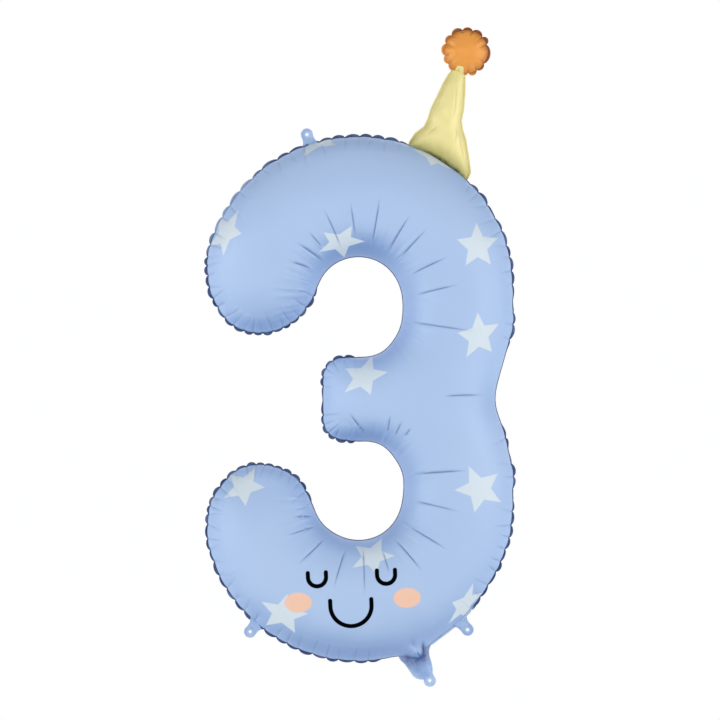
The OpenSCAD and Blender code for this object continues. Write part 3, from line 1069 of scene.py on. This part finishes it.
# Each face of a film is laid out round its nearest star, in that star's own directions.
# The places are those seen from the camera, so they shift with the film's height.
def layStars(piece, mirrored):
    mesh = piece.data
    co = np.empty(len(mesh.vertices) * 3)
    mesh.vertices.foreach_get("co", co)
    co = co.reshape(-1, 3)
    eye = np.array([0, lookFrom["height"]])
    q = eye + (co[:, [0, 2]] - eye) * (1 + np.abs(co[:, 1]) / lookFrom["distance"])[:, None]
    loop = np.empty(len(mesh.loops), int)
    mesh.loops.foreach_get("vertex_index", loop)
    total = np.empty(len(mesh.polygons), int)
    mesh.polygons.foreach_get("loop_total", total)
    owner = np.repeat(np.arange(len(total)), total)
    local = []
    for at, size, squash, along, turn in stars:
        major, minor = spun(*((q - at) / size).T, -along)
        u, v = spun(major, minor / squash, along)
        local.append(np.stack(spun(u, v, turn + 36 if mirrored else turn), axis=1))
    local = np.stack(local)
    reach = np.linalg.norm(local, axis=2)[:, loop]
    middle = np.stack([np.bincount(owner, r) / total for r in reach])
    nearest = middle.argmin(axis=0)[owner]
    uv = np.clip(local[nearest, loop], -4, 4)
    layer = mesh.uv_layers.new(name="print")
    layer.data.foreach_set("uv", uv.ravel().astype(np.float32))


for film, mirrored in zip(digitFilms, (False, True)):
    layStars(film, mirrored)

# Colours are given as 0 to 255, places and sizes in metres.
# The deep, crease and mouth tones below are painted shade, and the edge tone is painted rim light.
filmPaint = {
    "blue": (160, 183, 216), "pale": (152, 176, 212), "deep": (84, 120, 172), "edge": (158, 188, 234),
    "star": (196, 208, 216), "ink": (1, 4, 7), "cheek": (226, 182, 156), "creaseShade": (46, 78, 140),
    "mouth": (8, 30, 104), "metallic": 0.08, "roughness": 0.46,
}
star = {"valley": 0.47, "soft": 0.025}
face = {
    "tilt": -2.5, "cheeks": ((-0.0841, 0.1180), (0.0629, 0.1245)), "cheekWide": 0.0184, "cheekHigh": 0.0136,
    # middle, radius and length of the arms of the two eyes and the smile
    "lines": (((-0.0588, 0.1524), 0.0122, 0.006), ((0.0345, 0.1558), 0.0122, 0.006),
              ((-0.0129, 0.1139), 0.0278, 0.0079)),
    "stroke": 0.0058, "soft": 0.0004,
}


def starMask(finish):
    u, v, _ = finish.apart(finish.add("ShaderNodeUVMap", {"uv_map": "print"}))
    r = ((u * u) + (v * v)) ** 0.5
    half = math.radians(36)
    fold = abs(u.join("ARCTAN2", v).join("WRAP", half, -half))
    across = r * fold.join("SINE")
    along = r * fold.join("COSINE")
    run = (star["valley"] * math.cos(half) - 1, star["valley"] * math.sin(half))
    gap = ((along - 1) * run[1] - across * run[0]) / math.hypot(*run)
    return gap.ramp(star["soft"], -star["soft"])


# A line of the face: a half ring, open at the top, and two straight arms.
def curl(x, z, middle, radius, arms):
    dx, dz = x - middle[0], z - middle[1]
    bend = dz.low(0)
    ring = ((dx * dx) + (bend * bend)) ** 0.5 - radius
    over = (dz - arms).high(0)
    gap = ((ring * ring) + (over * over)) ** 0.5
    return gap.ramp(face["stroke"] / 2 + face["soft"], face["stroke"] / 2 - face["soft"])


def faceMasks(x, z):
    x, z = spun(x, z, face["tilt"])
    cheeks = []
    for middle in face["cheeks"]:
        at = spun(*middle, face["tilt"])
        dx, dz = (x - at[0]) / face["cheekWide"], (z - at[1]) / face["cheekHigh"]
        cheeks.append((((dx * dx) + (dz * dz)) ** 0.5).ramp(1.06, 0.94))
    lines = [curl(x, z, spun(*middle, face["tilt"]), radius, arms) for middle, radius, arms in face["lines"]]
    return cheeks[0].high(cheeks[1]), lines[0].high(lines[1]).high(lines[2])


def digitFinish(name, withFace):
    f = Finish(name, Metallic=filmPaint["metallic"])
    paint = {key: fromPicker(*value) for key, value in filmPaint.items() if isinstance(value, tuple)}
    x, _, z = f.apart(f.place)
    colour = f.mix(paint["blue"], paint["pale"], f.noise(5, 2).ramp(0.35, 0.7) * 0.5)
    # Painted shade near the bays and on film that faces down.
    colour = f.mix(colour, paint["deep"], (f.attribute("bayShade") * 0.5).high(f.attribute("under") * 0.95))
    # Painted rim light: lighter, bluer film towards the rim.
    colour = f.mix(colour, paint["edge"], (f.attribute("rim") ** 0.33) * 0.6)
    colour = f.mix(colour, paint["star"], starMask(f) * 0.95)
    if withFace:
        cheeks, ink = faceMasks(x, z)
        colour = f.mix(colour, paint["cheek"], cheeks * 0.96)
        colour = f.mix(colour, paint["ink"], ink)
        f.out(Metallic=ink * (1 - filmPaint["metallic"]) + filmPaint["metallic"])
    # Painted shade along the folds and grooves.
    colour = f.mix(colour, paint["creaseShade"], f.attribute("creaseShade") * 0.85)
    # Painted shade at the neck's mouth.
    colour = f.mix(colour, paint["mouth"], f.attribute("mouth") * 0.92)
    rough = f.noise(90, 3).ramp(0.2, 0.8) * 0.08 + filmPaint["roughness"]
    grain = f.noise(700, 2) * 0.3 + f.noise(140, 3) * 0.7
    return f.out(Base_Color=colour, Roughness=rough, Normal=f.bump(grain, 0.08, 0.0006))


giveFinish(digitFilms[0], digitFinish("printedFilm", True))
giveFinish(digitFilms[1], digitFinish("printedFilmBack", False))

# The digit's weld is painted navy as shade on the flange curving back, and left pale at the top left and from the
# neck to the right tab.
weldPaint = {"dark": (52, 70, 112), "light": (166, 188, 216), "topLeft": (0.618, 0.645), "slope": 0.7,
             "from": (0.086, 0.094), "to": (0.156, 0.150), "under": (0.14, 0.13)}


def weldFinish(name):
    f = Finish(name, Metallic=0.35)
    x, _, z = f.apart(f.place)
    pale = (z * weldPaint["slope"] - x).ramp(*weldPaint["topLeft"]) * 0.75
    pale = pale.high(x.ramp(*weldPaint["from"]) * x.ramp(*weldPaint["to"]) * z.ramp(*weldPaint["under"]))
    # Navy painted shade, left out where pale is high.
    colour = f.mix(fromPicker(*weldPaint["dark"]), fromPicker(*weldPaint["light"]),
                   pale + f.noise(60, 2).ramp(0.45, 0.8) * 0.2)
    return f.out(Base_Color=colour, Roughness=f.noise(200, 2) * 0.2 + 0.3)


giveFinish(digitWeld, weldFinish("weldShadedEdge"))

# The bands are distances from the middle of the hat's foot, and places along x or a slant. The fold, foot and shade
# tones are painted shade.
hatPaint = {"yellow": (224, 213, 148), "dull": (214, 203, 136), "fold": (150, 140, 70), "shade": (52, 52, 16),
            "foot": (150, 146, 72), "orange": (218, 144, 58), "deep": (108, 40, 4),
            "footShadeBand": (0.236, 0.212), "shadeBand": (0.2165, 0.2085), "shadeFrom": (0.07, 0.105),
            "shadedSideBand": (0.606, 0.650), "tipWide": (0.0076, 0.0070), "tipHigh": (0.0112, 0.0104)}


def hatFinish(name, metallic):
    f = Finish(name, Metallic=metallic)
    yellow, dull, fold, low, shade = (fromPicker(*hatPaint[k]) for k in ("yellow", "dull", "fold", "foot", "shade"))
    colour = f.mix(yellow, dull, f.noise(14, 2).ramp(0.3, 0.75))
    # Painted shade in the pleats, darker towards the foot, and darkest in a band along it, more to the right.
    colour = f.mix(colour, fold, f.attribute("creaseShade") * 0.35)
    x, _, z = f.apart(f.place)
    dx, dz = x - foot["middle"][0] * mm, z - foot["middle"][1] * mm
    up = ((dx ** 2) + (dz ** 2)) ** 0.5 + (f.noise(150, 2) - 0.5) * 0.009
    colour = f.mix(colour, low, up.ramp(*hatPaint["footShadeBand"]) * 0.55)
    colour = f.mix(colour, shade, up.ramp(*hatPaint["shadeBand"]) * x.ramp(*hatPaint["shadeFrom"]) * 0.9)
    return f.out(Base_Color=colour, Roughness=f.noise(120, 2) * 0.12 + 0.36,
                 Normal=f.bump(f.noise(260, 3), 0.06, 0.0005))


# How far a place is from another along one direction.
def reachAlong(x, z, at, way):
    return (x - at[0]) * way[0] + (z - at[1]) * way[1]


def pompomFinish(name, shade):
    f = Finish(name, Metallic=0.15)
    at, out, along = jointFrame("pompom_fold")
    x, _, z = f.apart(f.place)
    up = reachAlong(x, z, at, out)
    side = abs(reachAlong(x, z, at, along))
    # Painted shade: darker on the upper right, round the scalloped rim and in the grooves, and most on the weld.
    turned = (x * 0.8 + z * 0.6).ramp(*hatPaint["shadedSideBand"])
    deep = fromPicker(*hatPaint["deep"])
    colour = f.mix(fromPicker(*hatPaint["orange"]), deep,
                   f.attribute("rim") * (turned * 0.35 + 0.25) + turned * shade)
    colour = f.mix(colour, deep, f.attribute("creaseShade") * 0.6)
    tip = (side + up * 0.3).ramp(*hatPaint["tipWide"]) * up.ramp(*hatPaint["tipHigh"])
    colour = f.mix(colour, fromPicker(*hatPaint["yellow"]), tip)
    return f.out(Base_Color=colour, Roughness=f.noise(150, 2) * 0.12 + 0.36,
                 Normal=f.bump(f.noise(300, 3), 0.08, 0.0005))


def finishBoth(films, material):
    for film in films:
        giveFinish(film, material)


finishBoth(hatFilms, hatFinish("hatFilm", 0.15))
giveFinish(hatWeld, hatFinish("hatWeldEdge", 0.2))
finishBoth(pompomFilms, pompomFinish("pompomFilm", 0))
giveFinish(pompomWeld, pompomFinish("pompomShadedWeld", 0.85))

# The rim tone is a painted highlight on the flaps, and a paler band along the neck's edge.
neckPaint = {"film": (136, 163, 204), "flap": (158, 182, 216), "blot": (112, 144, 194), "deep": (20, 48, 120),
             "creaseShade": (36, 60, 120), "rim": (176, 198, 226), "rootShadeBand": (0.031, 0.009)}
valvePaint = {"film": (225, 230, 236), "haze": (205, 214, 226)}


# The neck has painted shade in its folds and towards the mouth, and is paler towards its edge. On the flaps the
# paler ring and edge are a painted highlight.
def neckFinish(name, tint, root):
    f = Finish(name, Metallic=0.2)
    at, out, _ = jointFrame("neck_fold")
    x, _, z = f.apart(f.place)
    blot = f.noise(75, 3).ramp(0.38, 0.62)
    # Painted shade: darker towards the neck's mouth, in patches.
    deep = reachAlong(x, z, at, out).ramp(*neckPaint["rootShadeBand"]) * (blot * 0.4 + 0.6) * root
    colour = fromPicker(*neckPaint[tint])
    for tone, mask in (("blot", blot * 0.6), ("deep", deep), ("creaseShade", f.attribute("creaseShade") * 0.4),
                       ("rim", f.attribute("rim") * 0.7)):
        colour = f.mix(colour, fromPicker(*neckPaint[tone]), mask)
    return f.out(Base_Color=colour, Roughness=f.noise(180, 3) * 0.2 + 0.3,
                 Normal=f.bump(f.noise(160, 4), 0.2, 0.0008))


finishBoth(neckFilms, neckFinish("neckFilm", "film", 0.9))
finishBoth(flaps, neckFinish("tabFilm", "flap", 0))

valve = Finish("valveFilm", Metallic=0.0)
valveTone = valve.mix(fromPicker(*valvePaint["film"]), fromPicker(*valvePaint["haze"]), valve.noise(50, 2))
valve.out(Base_Color=valveTone, Roughness=valve.noise(200, 2) * 0.1 + 0.3, Alpha=valve.noise(30, 2) * 0.1 + 0.7)
finishBoth([nodes["valve_front_film"], nodes["valve_back_film"]], valve.material)
print("materials made")

# Floor, backdrop and studio lights.
studio = {
    "floorZ": -0.75, "reach": 9.0, "wallTop": 4.0, "sides": 72, "floorGlow": 0.22, "aim": (0, 0, 0.45),
    "air": (0.97, 0.985, 1.0, 1), "airLight": 0.24,
    "lamps": (("leftLight", (-3.4, -2.0, 0.9), (3.2, 2.8), 52), ("rightLight", (3.4, -2.0, 0.9), (3.2, 2.8), 52),
              ("frontLight", (0, -5.0, 1.9), (3.4, 2.0), 17), ("topLight", (0, -1.2, 3.2), (3.0, 2.0), 21),
              ("backLight", (0, 4.6, 3.4), (4.0, 2.5), 45)),
}

floor = Finish("paleFloor", Roughness=0.8)
floorTone = floor.mix(fromPicker(250, 250, 250), fromPicker(254, 254, 254), floor.noise(1.5))
floor.set(floor.shader, {"Emission Strength": studio["floorGlow"], "Specular IOR Level": 0.1})
floor.out(Base_Color=floorTone, Emission_Color=floorTone)
wall = Finish("whiteBackdrop", Roughness=1.0)
wall.set(wall.shader, {"Emission Strength": 1.0, "Base Color": (0, 0, 0, 1), "Specular IOR Level": 0.0})
wall.out(Emission_Color=wall.mix((1, 1, 1, 1), (0.995, 0.998, 1, 1), wall.noise(0.8)))


def slab(name, corners, faces, finish):
    piece = newPiece(name, corners, faces, smooth=False)
    giveFinish(piece, finish.material)


# A round floor, and a white backdrop standing all round it.
turns = [2 * math.pi * k / studio["sides"] for k in range(studio["sides"])]
low = [(studio["reach"] * math.cos(a), studio["reach"] * math.sin(a), studio["floorZ"]) for a in turns]
high = [(x, y, studio["wallTop"]) for x, y, z in low]
count = len(low)
slab("floor", low, [tuple(range(count))], floor)
slab("backdrop", low + high, [((k + 1) % count, k, k + count, (k + 1) % count + count) for k in range(count)], wall)

for name, at, size, power in studio["lamps"]:
    data = bpy.data.lights.new(name, "AREA")
    data.shape = "RECTANGLE"
    data.size, data.size_y = size
    data.energy = power
    lamp = bpy.data.objects.new(name, data)
    lamp.location = at
    lamp.rotation_euler = (Vector(studio["aim"]) - Vector(at)).to_track_quat("-Z", "Y").to_euler()
    bpy.context.scene.collection.objects.link(lamp)

world = bpy.data.worlds.new("studio")
world.use_nodes = True
world.node_tree.nodes["Background"].inputs["Color"].default_value = studio["air"]
world.node_tree.nodes["Background"].inputs["Strength"].default_value = studio["airLight"]
bpy.context.scene.world = world
bpy.context.scene.view_settings.view_transform = "Standard"
print("stage lit")

for piece, node, slot in ((digitFilms[0], "number_front_film", "digit_print_film"),
                          (digitFilms[1], "number_back_film", "digit_film"),
                          (digitWeld, "number_seam", "weld_film")):
    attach(piece, "number")
    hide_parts(node)

# Each chamber's pieces are baked in place and the frame's parts they stand for hidden; these distances in
# millimetres past the fold are passed on, but no bend is made.
for name, reach, pieces in (("hat", (-3, 12), hatFilms + [hatWeld]),
                            ("pompom", (-2, 6), pompomFilms + [pompomWeld]), ("neck", (-3, 9), neckFilms)):
    for piece, part in zip(pieces, ("front_film", "back_film", "seam")):
        slot = name + ("_weld" if part == "seam" else "_film")
        blendAt(piece, name + "_fold", jointFrame(name + "_fold")[:2], reach, name + "_" + part)
for piece in digitFilms + hatFilms + pompomFilms:
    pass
